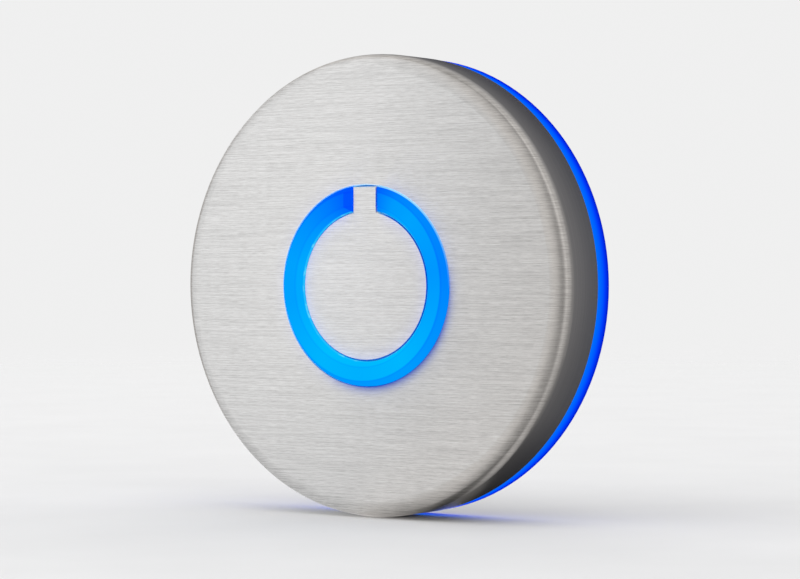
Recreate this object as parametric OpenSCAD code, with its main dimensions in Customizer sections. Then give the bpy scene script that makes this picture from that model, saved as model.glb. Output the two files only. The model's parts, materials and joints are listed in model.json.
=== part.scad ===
// Round illuminated door bell push for a wall.
// An aluminium shell hooks over a wall plate, with a light halo at the wall and a
// bevelled C-shaped light ring in the face. A metal cap with a locating tab fills the
// ring and presses a sealed plunger, a spring and a small switch on a circuit board.
// While a piece is modelled, x runs to the right, y up and z out of the wall.
// The finished piece is turned so that up is +Z and the face looks along -Y.

/* [Body] */
// Outer diameter of the housing
body_d = 70; // [66:0.5:90]
// Distance from the wall to the front face
body_depth = 13; // [11.7:0.1:15]
// Thickness of the front face
face_t = 2.2; // [1.8:0.1:2.6]
// Thickness of the side wall
side_t = 2.7; // [2.2:0.1:4]
// Radius of the rounded front edge
edge_r = 2.6; // [0.4:0.1:2.6]
// Width of the light bevel round the face's opening
opening_bevel = 0.1; // [0.05:0.01:0.2]

/* [Wall halo] */
// Height of the halo above the wall
halo_h = 3.6; // [3:0.1:4.4]
// Step from the housing's side in to the halo's side
halo_step = 0.1; // [0.05:0.05:0.6]
// Width of the bevel on the halo's edge at the wall
halo_bevel = 0.2; // [0.1:0.05:0.4]
// Height of the lip that centres the halo inside the housing
lip_h = 1.2; // [0.8:0.1:1.6]
// Thickness of that lip
lip_t = 1.2; // [0.8:0.1:2]

/* [Light ring] */
// Outer diameter of the ring at the face
ring_d = 30.26; // [28:0.02:32]
// Inner diameter of the ring at the face
ring_hole_d = 22.86; // [22:0.02:24.5]
// Height of the ring above the face
ring_proud = 1.12; // [0.4:0.02:3]
// Width of the ring's bevels
ring_bevel = 0.8; // [0.1:0.01:1.2]
// Width of the hidden flange round the ring
flange_w = 1.5; // [1:0.1:2.2]
// Thickness of that flange
flange_t = 1.2; // [0.8:0.1:1.6]

/* [Button] */
// Travel of the button
press_travel = 0.8; // [0.4:0.1:1]
// Thickness of the cap
cap_t = 2; // [1.4:0.1:2.2]
// Width of the cap's tab
tab_w = 4.4; // [2:0.1:8]
// Thickness of the tab
tab_t = 1.1; // [0.6:0.1:1.3]
// Room between the tab's straight end and the round opening
tab_room = 0.26; // [0.2:0.02:0.6]
// Width of the light bevel along the cap's edges
cap_bevel = 0.18; // [0.05:0.01:0.4]
// Diameter of the hub behind the cap
hub_d = 8; // [6:0.1:9]
// Height of the hub
hub_h = 0.8; // [0.5:0.1:1.2]
// Depth of the flat that keys the hub
hub_flat = 0.8; // [0.4:0.1:1.4]
// Diameter of the plunger
plunger_d = 15; // [13:0.1:16]
// Width of the plunger's stop flange
stop_w = 1.1; // [0.6:0.1:1.6]
// Thickness of the stop flange
stop_t = 0.8; // [0.5:0.1:1]
// Thickness of the web under the hub
web_t = 0.6; // [0.4:0.1:1]
// Diameter of the nose that presses the switch
nose_d = 4.8; // [3:0.1:6]
// Thickness of the sealing ring
seal_d = 0.8; // [0.5:0.05:1]

/* [Carrier and spring] */
// Height of the carrier below the light ring's flange
carrier_h = 2.4; // [2.2:0.1:2.8]
// Floor under the spring
pocket_floor_t = 0.7; // [0.5:0.1:0.9]
// Wall of the guide tube
tube_t = 0.84; // [0.6:0.02:1]
// Width of the spring's pocket
pocket_w = 2.2; // [1.4:0.1:2.4]
// Wall of the rim round the flange
rim_t = 1.05; // [0.8:0.05:1.6]
// Thickness of the screw ears
ear_t = 1.4; // [1:0.1:1.8]
// Thickness of the spring wire
wire_d = 0.5; // [0.3:0.05:0.6]
// Turns of the spring
coil_turns = 2.5; // [1.5:0.25:2.5]
// Diameter of the posts behind the face
post_d = 5.2; // [4.4:0.1:6]
// Depth of the screw holes in the posts
post_hole_depth = 1.8; // [1.2:0.1:2]
// Thread diameter of the carrier screws
carrier_screw_d = 1.9; // [1.5:0.1:2.4]
// Thread diameter of the board screws
board_screw_d = 2; // [1.6:0.1:2.4]

/* [Wall plate] */
// Thickness of the wall plate
base_t = 2; // [1.8:0.1:2.6]
// Height of the board's standoffs
standoff_h = 1; // [1:0.1:1.4]
// Diameter of the standoffs
standoff_d = 5; // [4:0.1:6]
// Distance between the wall screws
wall_screw_spacing = 44; // [42:0.5:46]
// Width of the wall screws' slots
slot_w = 4.2; // [3.4:0.1:5]
// Length of the slots
slot_l = 7; // [5.2:0.1:8]
// Width of the foam seal on the wall
gasket_w = 3; // [2:0.1:4]
// Thickness of the foam seal
gasket_t = 1; // [0.6:0.1:1.2]
// Bore of the cable grommet
cable_d = 5; // [3:0.1:6]
// Distance from the cable's middle to the terminal block
cable_lead = 5.73; // [4.5:0.01:6.5]
// Rubber round the cable
grommet_t = 1.7; // [1.2:0.1:2]
// Width of the grommet's lips
grommet_lip = 1.6; // [1:0.1:2]
// Thickness of the grommet's lips
grommet_lip_t = 0.7; // [0.5:0.1:0.8]
// Thickness of the hooks
hook_t = 1.5; // [1.2:0.1:2]
// Bite of the hooks into the housing
hook_bite = 0.4; // [0.2:0.05:0.8]
// Arc of a hook in degrees
hook_arc = 14; // [8:1:20]
// Width of the locking lug
lug_w = 8; // [6:0.1:10]
// Thickness of the locking lug
lug_t = 2.6; // [2:0.1:3]
// Thread diameter of the locking screw
lock_d = 2.9; // [2.4:0.1:3.4]
// Head diameter of the locking screw
lock_head_d = 5; // [4.4:0.1:5.4]
// Head height of the locking screw
lock_head_h = 1; // [0.6:0.1:1.2]

/* [Board and switch] */
// Thickness of the circuit board
board_t = 1.6; // [1:0.1:2]
// Width of the switch
switch_w = 6; // [5:0.1:6.4]
// Height of the switch without its stem
switch_h = 2.5; // [2.2:0.1:3.2]
// Thickness of the switch's cover
cover_t = 0.3; // [0.2:0.05:0.4]
// Diameter of the switch stem
stem_d = 3.4; // [2.4:0.1:3.6]
// Height of the stem above the switch
stem_proud = 0.7; // [0.5:0.1:1]
// Travel of the switch stem
switch_travel = 0.4; // [0.2:0.05:0.4]
// Number of lamps under the light ring
led_count = 8; // [6:1:10]
// Width of a front lamp
led_w = 2.8; // [1.6:0.1:3]
// Height of a lamp
led_h = 0.9; // [0.5:0.05:0.95]
// Length of a halo lamp
halo_led_l = 2.8; // [1.6:0.1:3.2]
// Depth of a halo lamp
halo_led_w = 1.2; // [0.8:0.1:1.4]
// Width of the terminal block
term_w = 10; // [9:0.1:12]
// Depth of the terminal block
term_l = 6.4; // [5.6:0.1:7]
// Room between the terminal block and the face
term_room = 1; // [0.4:0.1:1.4]
// Distance between the two terminals
term_pitch = 5; // [4.4:0.1:5]
// Diameter of the smoothing capacitor
capacitor_d = 6.3; // [4:0.1:6.6]
// Room between the smoothing capacitor and the face
capacitor_room = 0.8; // [0.4:0.1:2]
// Length of the bridge rectifier
rectifier_l = 4.8; // [4:0.1:6]
// Width of the bridge rectifier
rectifier_w = 3.8; // [3:0.1:4.4]
// Height of the bridge rectifier
rectifier_h = 2.4; // [1.6:0.1:2.8]
// Length of a resistor
resistor_l = 3.2; // [2:0.1:3.4]

/* [Clearances] */
// Room round fixed pieces that fit together
fit_gap = 0.07; // [0.04:0.01:0.12]
// Room between the cap and the light ring
cap_gap = 0.12; // [0.08:0.01:0.2]
// Room between plunger and guide, and round the switch stem
guide_gap = 0.06; // [0.03:0.01:0.1]
// Room that is left where a moving piece comes close
stop_gap = 0.2; // [0.1:0.05:0.3]
// Room between wall plate, board, hooks and their neighbours
board_gap = 0.4; // [0.2:0.05:0.6]
// Room round the screws in plain holes
hole_gap = 0.15; // [0.1:0.05:0.3]
// Room round the screw threads
thread_gap = 0.04; // [0.02:0.01:0.08]

/* [Hidden] */
$fn = 96;

// Overshoot of cuts, and the depth to which joined shapes run into each other
over = 1;
sink = 0.3;

// Shell and halo
body_r = body_d / 2;
shell_r = body_r - side_t;
face_back = body_depth - face_t;
halo_r = body_r - halo_step;
lip_r = shell_r - fit_gap;
halo_in_r = lip_r - lip_t;
lip_top = halo_h + lip_h;

// Light ring
ring_r = ring_d / 2;
ring_in_r = ring_hole_d / 2;
opening_r = ring_r + fit_gap;
flange_r = ring_r + flange_w;
seat_z = face_back - flange_t;

// Button
cap_r = ring_in_r - cap_gap;
cap_back = body_depth - cap_t;
tab_back = body_depth - tab_t;
tab_end = opening_r - tab_room;
gap_floor = min(face_back, tab_back - press_travel - stop_gap);
hub_r = hub_d / 2;
plunger_r = plunger_d / 2;
ceiling_z = cap_back - hub_h - web_t;

// Carrier
carrier_z = seat_z - carrier_h;
pocket_z = carrier_z + pocket_floor_t;
guide_r = plunger_r + guide_gap;
tube_r = guide_r + tube_t;
pocket_r = tube_r + pocket_w;
tube_top = cap_back - press_travel - stop_gap;
rim_in_r = flange_r + hole_gap;
rim_r = rim_in_r + rim_t;
rim_top = face_back - stop_gap;
well_inset = 0.5;
well_rib = 8;
post_r = post_d / 2;
post_at = rim_r + fit_gap + post_r;
post_z = carrier_z + ear_t;
post_angles = [90, 210, 330];
ear_r = post_r + sink;
screw_head_w = 0.95;
screw_head_h = 1.2;
thread_end = 0.2;

// Plunger and its seal
stop_r = plunger_r + stop_w;
plunger_z = carrier_z - stop_t;
seal_out_r = plunger_r + guide_gap / 2;
seal_z = (carrier_z + tube_top + press_travel) / 2;
groove_gap = 0.03;

// Spring: a helix that starts on the carrier's floor and ends at the cap
coil_r = tube_r + pocket_w / 2;
coil_steps = 24;
coil_sides = 6;
coil_rise = cap_back - pocket_z - wire_d;

// Wall plate, with the radius of what rises from it
base_r = halo_in_r - stop_gap;
gasket_edge = 0.8;
gasket_r = base_r - gasket_edge;
board_z = base_t + standoff_h;
rise_r = base_r - stop_gap;
board_r = rise_r - hook_t - board_gap;
board_top = board_z + board_t;
standoff_edge = 3.9;
standoff_at = board_r - standoff_edge;
standoff_angles = [60, 120, 240, 300];
pilot_floor = 0.8;
slot_at = wall_screw_spacing / 2;
driver_d = 10;
hook_angles = [50, 130];
hook_z = lip_top + board_gap;
hook_flat = 0.6;
hook_slope = 1;
hook_gap = 0.3;
nose_r = shell_r + hook_bite;
lock_z = lip_top + 2 * board_gap + lock_d / 2;
lug_top = lock_z + lock_d / 2 + 0.8;
lock_rim = 0.2;
neck_r = cable_d / 2 + grommet_t;
grommet_r = neck_r + grommet_lip;

// Switch
switch_top = board_top + switch_h;
switch_mid = switch_top - cover_t;
stem_r = stem_d / 2;
stem_top = switch_top + stem_proud;
collar_w = 0.45;
collar_t = 0.5;
rivet_r = 0.4;
rivet_inset = 0.65;
rivet_h = 0.12;
nose_z = stem_top + press_travel - switch_travel + 0.02;
cavity_r = switch_w / sqrt(2) + board_gap;

// Parts on the board
led_at = (ring_r + ring_in_r) / 2;
halo_led_edge = 0.7;
halo_led_angles = [10, 50, 70, 110, 130, 165];
part_edge = 1.6;
part_angle = 59;
resistor_angles = [8, 16, 112, 122, 132];
resistor_w = 1.6;
resistor_h = 0.6;
foot_t = 0.2;
term_y = board_r - part_edge - term_l / 2;
term_h = face_back - board_top - term_room;
capacitor_h = face_back - board_top - capacitor_room;
cable_drop = term_y - term_l / 2 - cable_lead;
term_floor = 0.6;
term_wall = 0.9;
term_cell_w = 3.4;
term_cell_h = 2.8;
term_screw_r = 1.5;

// Turns a piece from its modelling axes into the part's own frame
module placed() {
    rotate([90, 0, 0]) children();
}

// Flat ring standing on z
module washer(outer, inner, height) {
    difference() {
        cylinder(r = outer, h = height);
        translate([0, 0, -over]) cylinder(r = inner, h = height + 2 * over);
    }
}

// Shape in x and z, drawn out along y from near to far
module along_y(near, far) {
    translate([0, far, 0]) rotate([90, 0, 0]) linear_extrude(far - near) children();
}

// Copies on the axes of the three posts behind the face, with x pointing outwards
module at_posts() {
    for (a = post_angles) rotate([0, 0, a]) translate([post_at, 0, 0]) children();
}

// Copies on the axes of the four standoffs
module at_standoffs() {
    for (a = standoff_angles) rotate([0, 0, a]) translate([standoff_at, 0, 0]) children();
}

// Copies on the axes of the two slots
module at_slots() {
    for (side = [-1, 1]) translate([side * slot_at, 0, 0]) children();
}

// Copies on both sides of the vertical at an angle from the top, x pointing outwards
module at_mirrored(angles, radius) {
    for (a = angles, side = [-1, 1]) rotate([0, 0, 90 + side * a]) translate([radius, 0, 0]) children();
}

// Turns z into the downward axis of the locking screw
module at_lock() {
    translate([0, 0, lock_z]) rotate([90, 0, 0]) children();
}

// Pan-head screw: the head lies below z = 0 and the thread runs up
module pan_screw(d, length) {
    head_r = d / 2 + screw_head_w;
    rotate_extrude() polygon([[0, -screw_head_h], [head_r * 0.6, -screw_head_h],
        [head_r, -screw_head_h * 0.4], [head_r, 0], [d / 2, 0], [d / 2, length - thread_end],
        [d / 2 - thread_end, length], [0, length]]);
}

// Half section of the housing: side wall, rounded edge and face
module housing_section() {
    edge_z = body_depth - edge_r;
    cut = opening_bevel + over;
    difference() {
        union() {
            translate([0, halo_h]) square([body_r, edge_z - halo_h]);
            translate([0, edge_z]) square([body_r - edge_r, edge_r]);
            translate([body_r - edge_r, edge_z]) circle(edge_r);
        }
        translate([-over, halo_h - over]) square([shell_r + over, face_back - halo_h + over]);
        translate([-over, 0]) square([opening_r + over, body_depth + over]);
        polygon([[opening_r - over, body_depth - cut], [opening_r + cut, body_depth + over],
            [opening_r - over, body_depth + over]]);
    }
}

// Aluminium shell with posts, hook pockets and the locking screw's countersunk hole
module housing() {
    pocket_arc = hook_arc + 2;
    color("silver") placed() difference() {
        union() {
            rotate_extrude() housing_section();
            at_posts() translate([0, 0, post_z]) cylinder(r = post_r, h = face_back - post_z + sink);
        }
        at_posts() translate([0, 0, post_z - over])
            cylinder(d = carrier_screw_d + 2 * thread_gap, h = post_hole_depth + over);
        for (a = hook_angles) rotate([0, 0, a - pocket_arc / 2]) rotate_extrude(angle = pocket_arc)
            translate([shell_r - over, hook_z - hook_gap])
                square([nose_r + hook_gap - shell_r + over, hook_flat + hook_slope + 2 * hook_gap]);
        at_lock() translate([0, 0, shell_r - over])
            cylinder(d = lock_d + 2 * hole_gap, h = side_t + 2 * over);
        at_lock() translate([0, 0, body_r - lock_head_h - lock_rim])
            cylinder(d = lock_head_d + 2 * hole_gap, h = lock_head_h + lock_rim + over);
    }
}

// Light guide between housing and wall, with a lip that centres it in the housing
module halo_ring() {
    color([0.1, 0.42, 1]) placed() rotate_extrude()
        polygon([[halo_in_r, 0], [halo_r - halo_bevel, 0], [halo_r, halo_bevel], [halo_r, halo_h],
            [lip_r, halo_h], [lip_r, lip_top], [halo_in_r, lip_top]]);
}

// Half section of the light ring: bevelled bar on a hidden flange
module ring_section() {
    top = body_depth + ring_proud;
    polygon([[ring_in_r, seat_z], [flange_r, seat_z], [flange_r, face_back], [ring_r, face_back],
        [ring_r, body_depth], [ring_r - ring_bevel, top], [ring_in_r + ring_bevel, top],
        [ring_in_r, body_depth]]);
}

// C-shaped light ring: the gap for the tab has ends bevelled like the sides
module light_ring() {
    half = tab_w / 2 + cap_gap;
    wide = half + ring_bevel * (ring_proud + over) / ring_proud;
    top = body_depth + ring_proud + over;
    color([0.05, 0.55, 1]) placed() difference() {
        rotate_extrude() ring_section();
        along_y(ring_in_r / 2, flange_r + over)
            polygon([[-half, gap_floor], [half, gap_floor], [half, body_depth], [wide, top],
                [-wide, top], [-half, body_depth]]);
    }
}

// Tab of the cap: bevelled along its two sides and its straight end
module cap_tab() {
    half = tab_w / 2;
    shoulder = body_depth - cap_bevel;
    root = ring_in_r / 2;
    intersection() {
        along_y(root, tab_end)
            polygon([[-half, tab_back], [half, tab_back], [half, shoulder], [half - cap_bevel, body_depth],
                [cap_bevel - half, body_depth], [-half, shoulder]]);
        rotate([90, 0, 90]) translate([0, 0, -half - over]) linear_extrude(tab_w + 2 * over)
            polygon([[root, tab_back - over], [tab_end, tab_back - over], [tab_end, shoulder],
                [tab_end - cap_bevel, body_depth], [root, body_depth]]);
    }
}

// Hub with a flat, or with extra room the socket for it
module keyed_hub(room, height) {
    difference() {
        cylinder(r = hub_r + room, h = height);
        translate([hub_r - hub_flat + room, -hub_d, -over]) cube([hub_d, 2 * hub_d, height + 2 * over]);
    }
}

// Metal cap: a disc with a tab, and a keyed hub behind it
module button_cap() {
    color("silver") placed() union() {
        rotate_extrude() polygon([[0, cap_back], [cap_r, cap_back], [cap_r, body_depth - cap_bevel],
            [cap_r - cap_bevel, body_depth], [0, body_depth]]);
        cap_tab();
        translate([0, 0, cap_back - hub_h]) keyed_hub(0, hub_h + sink);
    }
}

// Plunger: hollow over the switch, with a nose, a seal groove and a stop flange
module button_plunger() {
    groove_r = seal_out_r - seal_d - groove_gap;
    groove_half = seal_d / 2 + groove_gap;
    color([0.16, 0.16, 0.17]) placed() difference() {
        rotate_extrude() polygon([[cavity_r, plunger_z], [stop_r, plunger_z], [stop_r, carrier_z],
            [plunger_r, carrier_z], [plunger_r, seal_z - groove_half], [groove_r, seal_z - groove_half],
            [groove_r, seal_z + groove_half], [plunger_r, seal_z + groove_half], [plunger_r, cap_back],
            [0, cap_back], [0, nose_z], [nose_d / 2, nose_z], [nose_d / 2, ceiling_z],
            [cavity_r, ceiling_z]]);
        translate([0, 0, cap_back - hub_h]) keyed_hub(groove_gap, hub_h + over);
    }
}

// Sealing ring in the plunger's groove
module plunger_o_ring() {
    color([0.08, 0.08, 0.08]) placed() rotate_extrude()
        translate([seal_out_r - seal_d / 2, seal_z]) circle(d = seal_d);
}

// Half section of the carrier: guide tube, spring pocket, ring seat and rim
module carrier_section() {
    polygon([[guide_r, carrier_z], [rim_r, carrier_z], [rim_r, rim_top], [rim_in_r, rim_top],
        [rim_in_r, seat_z], [pocket_r, seat_z], [pocket_r, pocket_z], [tube_r, pocket_z],
        [tube_r, tube_top], [guide_r, tube_top]]);
}

// Tapered wells that lead the light of each lamp to the ring
module light_wells() {
    step = 360 / led_count;
    arc = step - well_rib;
    inner = ring_in_r + well_inset;
    outer = ring_r - well_inset;
    for (k = [0 : led_count - 1]) rotate([0, 0, (k + 0.5) * step - arc / 2]) rotate_extrude(angle = arc)
        polygon([[inner + well_inset, carrier_z - over], [outer - well_inset, carrier_z - over],
            [outer, seat_z + over], [inner, seat_z + over]]);
}

// White moulding that guides the plunger, clamps the light ring and holds the wells
module button_carrier() {
    reach = post_at - rim_r + over;
    color("white") placed() difference() {
        union() {
            rotate_extrude() carrier_section();
            at_posts() translate([0, 0, carrier_z]) cylinder(r = ear_r, h = ear_t);
            at_posts() translate([-reach, -post_r, carrier_z]) cube([reach, post_d, ear_t]);
        }
        light_wells();
        at_posts() translate([0, 0, carrier_z - over])
            cylinder(d = carrier_screw_d + 2 * hole_gap, h = ear_t + 2 * over);
    }
}

// Three screws that hold the carrier to the posts
module carrier_screws() {
    length = ear_t + post_hole_depth - stop_gap;
    color("gainsboro") placed() at_posts() translate([0, 0, carrier_z]) pan_screw(carrier_screw_d, length);
}

// Middle of the spring wire at a share of its length
function coil_point(share) = let (turn = 360 * coil_turns * share)
    [coil_r * cos(turn), coil_r * sin(turn), pocket_z + wire_d / 2 + coil_rise * share];

// One ring of points round the wire
function coil_ring(share) = let (c = coil_point(share), out = [c[0], c[1], 0] / coil_r)
    [for (k = [0 : coil_sides - 1]) let (a = 90 + 360 * k / coil_sides)
        c + wire_d / 2 * (cos(a) * out + [0, 0, sin(a)])];

// Return spring: one unbroken helix of triangles
module return_spring() {
    rings = round(coil_steps * coil_turns);
    points = [for (i = [0 : rings]) each coil_ring(i / rings)];
    sides = [for (i = [0 : rings - 1], k = [0 : coil_sides - 1]) let (
        a = i * coil_sides + k,
        b = i * coil_sides + (k + 1) % coil_sides)
        each [[a, b, a + coil_sides], [b, b + coil_sides, a + coil_sides]]];
    last = rings * coil_sides;
    ends = [for (k = [1 : coil_sides - 2]) each [[0, k + 1, k], [last, last + k, last + k + 1]]];
    color("lightgrey") placed() polyhedron(points = points, faces = concat(sides, ends));
}

// Least gap between turns of the spring, measured on points of its middle line
coil_shares = [for (i = [0 : coil_steps * coil_turns]) i / (coil_steps * coil_turns)];
coil_gap = min([for (a = coil_shares, b = coil_shares)
    if (b - a > 0.5 / coil_turns) norm(coil_point(a) - coil_point(b))]) - wire_d;
echo(str("return_spring least gap to itself: ", coil_gap, " mm"));

// Long hole for a wall screw, along x
module slot_cut() {
    reach = (slot_l - slot_w) / 2;
    translate([0, 0, -over]) linear_extrude(base_t + 2 * over) union() {
        square([2 * reach, slot_w], center = true);
        for (side = [-1, 1]) translate([side * reach, 0]) circle(d = slot_w);
    }
}

// Hooks at the top of the wall plate, swept round the middle
module base_hooks() {
    top = hook_z + hook_flat + hook_slope;
    for (a = hook_angles) rotate([0, 0, a - hook_arc / 2]) rotate_extrude(angle = hook_arc)
        polygon([[rise_r - hook_t, base_t - sink], [rise_r, base_t - sink], [rise_r, hook_z],
            [nose_r, hook_z], [nose_r, hook_z + hook_flat], [rise_r, top], [rise_r - hook_t, top]]);
}

// Lug at the bottom of the wall plate, which takes the locking screw
module base_lug() {
    intersection() {
        translate([-lug_w / 2, -rise_r - over, base_t - sink])
            cube([lug_w, lug_t + over, lug_top - base_t + sink]);
        cylinder(r = rise_r, h = lug_top + over);
    }
}

// Wall plate with slots, cable hole, seal groove, standoffs, hooks and lug
module base_plate() {
    color([0.3, 0.31, 0.33]) placed() difference() {
        union() {
            cylinder(r = base_r, h = base_t);
            at_standoffs() translate([0, 0, base_t - sink]) cylinder(d = standoff_d, h = standoff_h + sink);
            base_hooks();
            base_lug();
        }
        at_slots() slot_cut();
        at_standoffs() translate([0, 0, pilot_floor])
            cylinder(d = board_screw_d + 2 * thread_gap, h = board_z);
        translate([0, 0, -over]) washer(gasket_r + fit_gap, gasket_r - gasket_w - fit_gap, gasket_t + over);
        translate([0, -cable_drop, -over]) cylinder(r = neck_r + fit_gap, h = base_t + 2 * over);
        translate([0, -cable_drop, -over]) cylinder(r = grommet_r + fit_gap, h = grommet_lip_t + over);
        at_lock() translate([0, 0, rise_r - lug_t - over])
            cylinder(d = lock_d + 2 * thread_gap, h = lug_t + 2 * over);
    }
}

// Foam seal in the groove on the back of the wall plate
module wall_gasket() {
    color([0.13, 0.13, 0.14]) placed() washer(gasket_r, gasket_r - gasket_w, gasket_t);
}

// Rubber bush in the cable hole: two lips and a neck
module cable_grommet() {
    bore_r = cable_d / 2;
    front_r = grommet_r - sink;
    top = base_t + grommet_lip_t;
    color([0.1, 0.1, 0.1]) placed() translate([0, -cable_drop, 0]) rotate_extrude()
        polygon([[bore_r, 0], [grommet_r, 0], [grommet_r, grommet_lip_t], [neck_r, grommet_lip_t],
            [neck_r, base_t], [front_r, base_t], [front_r, top], [bore_r, top]]);
}

// Screw under the housing, with a hexagon socket
module locking_screw() {
    seat = body_r - lock_head_h - lock_rim;
    tip = rise_r - lug_t;
    color("dimgrey") placed() at_lock() difference() {
        union() {
            translate([0, 0, tip]) cylinder(d = lock_d, h = seat - tip + sink);
            translate([0, 0, seat]) cylinder(d = lock_head_d, h = lock_head_h);
        }
        translate([0, 0, seat + lock_rim]) cylinder(d = lock_d * 0.7, h = lock_head_h, $fn = 6);
    }
}

// Circuit board, cut out for wall screws, cable, lug and screws
module circuit_board() {
    notch_in = slot_at - slot_l / 2 - over;
    color([0.05, 0.32, 0.2]) placed() translate([0, 0, board_z]) linear_extrude(board_t) difference() {
        circle(board_r);
        for (side = [0, 180]) rotate(side) union() {
            translate([notch_in + driver_d / 2, 0]) circle(d = driver_d);
            translate([notch_in + driver_d / 2, -driver_d / 2]) square([board_r, driver_d]);
        }
        translate([0, -cable_drop]) circle(r = cable_d / 2 + 2 * board_gap);
        for (a = standoff_angles) rotate(a) translate([standoff_at, 0]) circle(d = board_screw_d + 2 * hole_gap);
        translate([-lug_w / 2 - board_gap, -body_r])
            square([lug_w + 2 * board_gap, body_r - rise_r + lug_t + board_gap]);
    }
}

// Four screws that hold the board to its standoffs
module board_screws() {
    length = board_top - pilot_floor - stop_gap;
    color("gainsboro") placed() at_standoffs() translate([0, 0, board_top]) mirror([0, 0, 1])
        pan_screw(board_screw_d, length);
}

// Copies at the four corner rivets of the switch
module at_rivets() {
    at = switch_w / 2 - rivet_inset;
    for (x = [-at, at], y = [-at, at]) translate([x, y, 0]) children();
}

// Switch body with a well for the stem's collar, and four rivets over the cover
module switch_body() {
    well_depth = collar_t + switch_travel + 2 * guide_gap;
    color([0.14, 0.14, 0.15]) placed() difference() {
        union() {
            translate([-switch_w / 2, -switch_w / 2, board_top]) cube([switch_w, switch_w, switch_h - cover_t]);
            at_rivets() translate([0, 0, switch_mid - sink])
                cylinder(r = rivet_r, h = cover_t + sink + rivet_h);
        }
        translate([0, 0, switch_mid - well_depth])
            cylinder(r = stem_r + collar_w + guide_gap, h = well_depth + over);
    }
}

// Switch cover: a plate with two folded sides
module switch_cover() {
    side_w = switch_w / 2;
    side_h = switch_h / 2;
    color("lightsteelblue") placed() difference() {
        union() {
            translate([-switch_w / 2, -switch_w / 2, switch_mid]) cube([switch_w, switch_w, cover_t]);
            for (side = [0, 180]) rotate([0, 0, side])
                translate([switch_w / 2, -side_w / 2, switch_top - side_h]) cube([cover_t, side_w, side_h]);
            for (side = [0, 180]) rotate([0, 0, side])
                translate([switch_w / 2 - sink, -side_w / 2, switch_mid]) cube([cover_t + sink, side_w, cover_t]);
        }
        translate([0, 0, switch_mid - over]) cylinder(r = stem_r + guide_gap, h = cover_t + 2 * over);
        at_rivets() translate([0, 0, switch_mid - over]) cylinder(r = rivet_r + guide_gap, h = cover_t + 2 * over);
    }
}

// Switch stem with the collar that keeps it under the cover
module switch_plunger() {
    color("black") placed() rotate_extrude()
        polygon([[0, switch_mid - collar_t], [stem_r + collar_w, switch_mid - collar_t],
            [stem_r + collar_w, switch_mid], [stem_r, switch_mid], [stem_r, stem_top], [0, stem_top]]);
}

// Bent foot from a body's side at x = from, down to the board and out
module bent_foot(from, rise, width, reach) {
    knee = from + 2 * foot_t;
    translate([0, -width / 2, 0]) along_y(0, width)
        polygon([[from, board_top + rise - foot_t], [knee - foot_t, board_top + rise - foot_t],
            [knee - foot_t, board_top], [from + reach, board_top], [from + reach, board_top + foot_t],
            [knee, board_top + foot_t], [knee, board_top + rise], [from, board_top + rise]]);
}

// Four bent feet of the switch
module switch_terminals() {
    rise = 0.8;
    width = 0.7;
    reach = 1.4;
    color("gainsboro") placed() for (turn = [0, 180], y = [-1, 1]) rotate([0, 0, turn])
        translate([0, y * (switch_w / 2 - width), 0]) bent_foot(switch_w / 2, rise, width, reach);
}

// Lamps under the light ring, each with a shallow round window
module front_leds() {
    step = 360 / led_count;
    window_t = 0.15;
    color([1, 0.95, 0.75]) placed() for (k = [0 : led_count - 1]) rotate([0, 0, (k + 0.5) * step])
        translate([led_at, 0, board_top]) difference() {
            translate([-led_w / 2, -led_w / 2, 0]) cube([led_w, led_w, led_h]);
            translate([0, 0, led_h - window_t]) cylinder(d = led_w * 0.75, h = window_t + over);
        }
}

// Lamps under the board's edge that face the halo
module halo_leds() {
    color([1, 0.95, 0.75]) placed() at_mirrored(halo_led_angles, board_r - halo_led_edge - halo_led_w)
        translate([0, -halo_led_l / 2, board_z - led_h]) cube([halo_led_w, halo_led_l, led_h]);
}

// Resistors beside the carrier
module resistors() {
    cap_l = 0.5;
    radius = board_r - part_edge - capacitor_d / 2 - over;
    color([0.1, 0.1, 0.11]) placed() at_mirrored(resistor_angles, radius) {
        translate([-resistor_l / 2, -resistor_w / 2, board_top]) cube([resistor_l, resistor_w, resistor_h]);
        for (side = [0, 180]) rotate([0, 0, side])
            translate([resistor_l / 2 - cap_l, -resistor_w / 2, board_top])
                cube([cap_l, resistor_w, resistor_h + foot_t / 2]);
    }
}

// Bridge rectifier: tapered body on four bent feet
module bridge_rectifier() {
    lift = foot_t / 2;
    half = rectifier_w / 2;
    top_half = half - foot_t;
    at = board_r - part_edge - capacitor_d / 2;
    color([0.13, 0.13, 0.13]) placed() rotate([0, 0, 90 + part_angle]) translate([at, 0, 0]) union() {
        translate([0, -rectifier_l / 2, 0]) along_y(0, rectifier_l)
            polygon([[-half, board_top + lift], [half, board_top + lift],
                [half, board_top + rectifier_h / 2], [top_half, board_top + rectifier_h],
                [-top_half, board_top + rectifier_h], [-half, board_top + rectifier_h / 2]]);
        for (turn = [0, 180], y = [-1, 1]) rotate([0, 0, turn])
            translate([0, y * rectifier_l / 4, 0]) bent_foot(half - foot_t / 2, rectifier_h / 2, 0.7, 1.2);
    }
}

// Smoothing capacitor: a can with a rolled groove on a square foot
module smoothing_capacitor() {
    can_r = capacitor_d / 2;
    foot_h = 0.8;
    groove = 0.25;
    groove_z = foot_h + 0.9;
    foot_w = capacitor_d + 0.2;
    at = board_r - part_edge - can_r;
    color("silver") placed() rotate([0, 0, 90 - part_angle]) translate([at, 0, board_top]) union() {
        translate([-foot_w / 2, -foot_w / 2, 0]) cube([foot_w, foot_w, foot_h]);
        rotate_extrude() polygon([[0, foot_h - sink], [can_r, foot_h - sink], [can_r, groove_z],
            [can_r - groove, groove_z + groove], [can_r, groove_z + 2 * groove],
            [can_r, capacitor_h - groove], [can_r - groove, capacitor_h], [0, capacitor_h]]);
    }
}

// Copies at the two cells of the terminal block, y pointing to the cable hole
module at_cells() {
    for (side = [-1, 1]) translate([side * term_pitch / 2, -term_y, board_top]) children();
}

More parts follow.
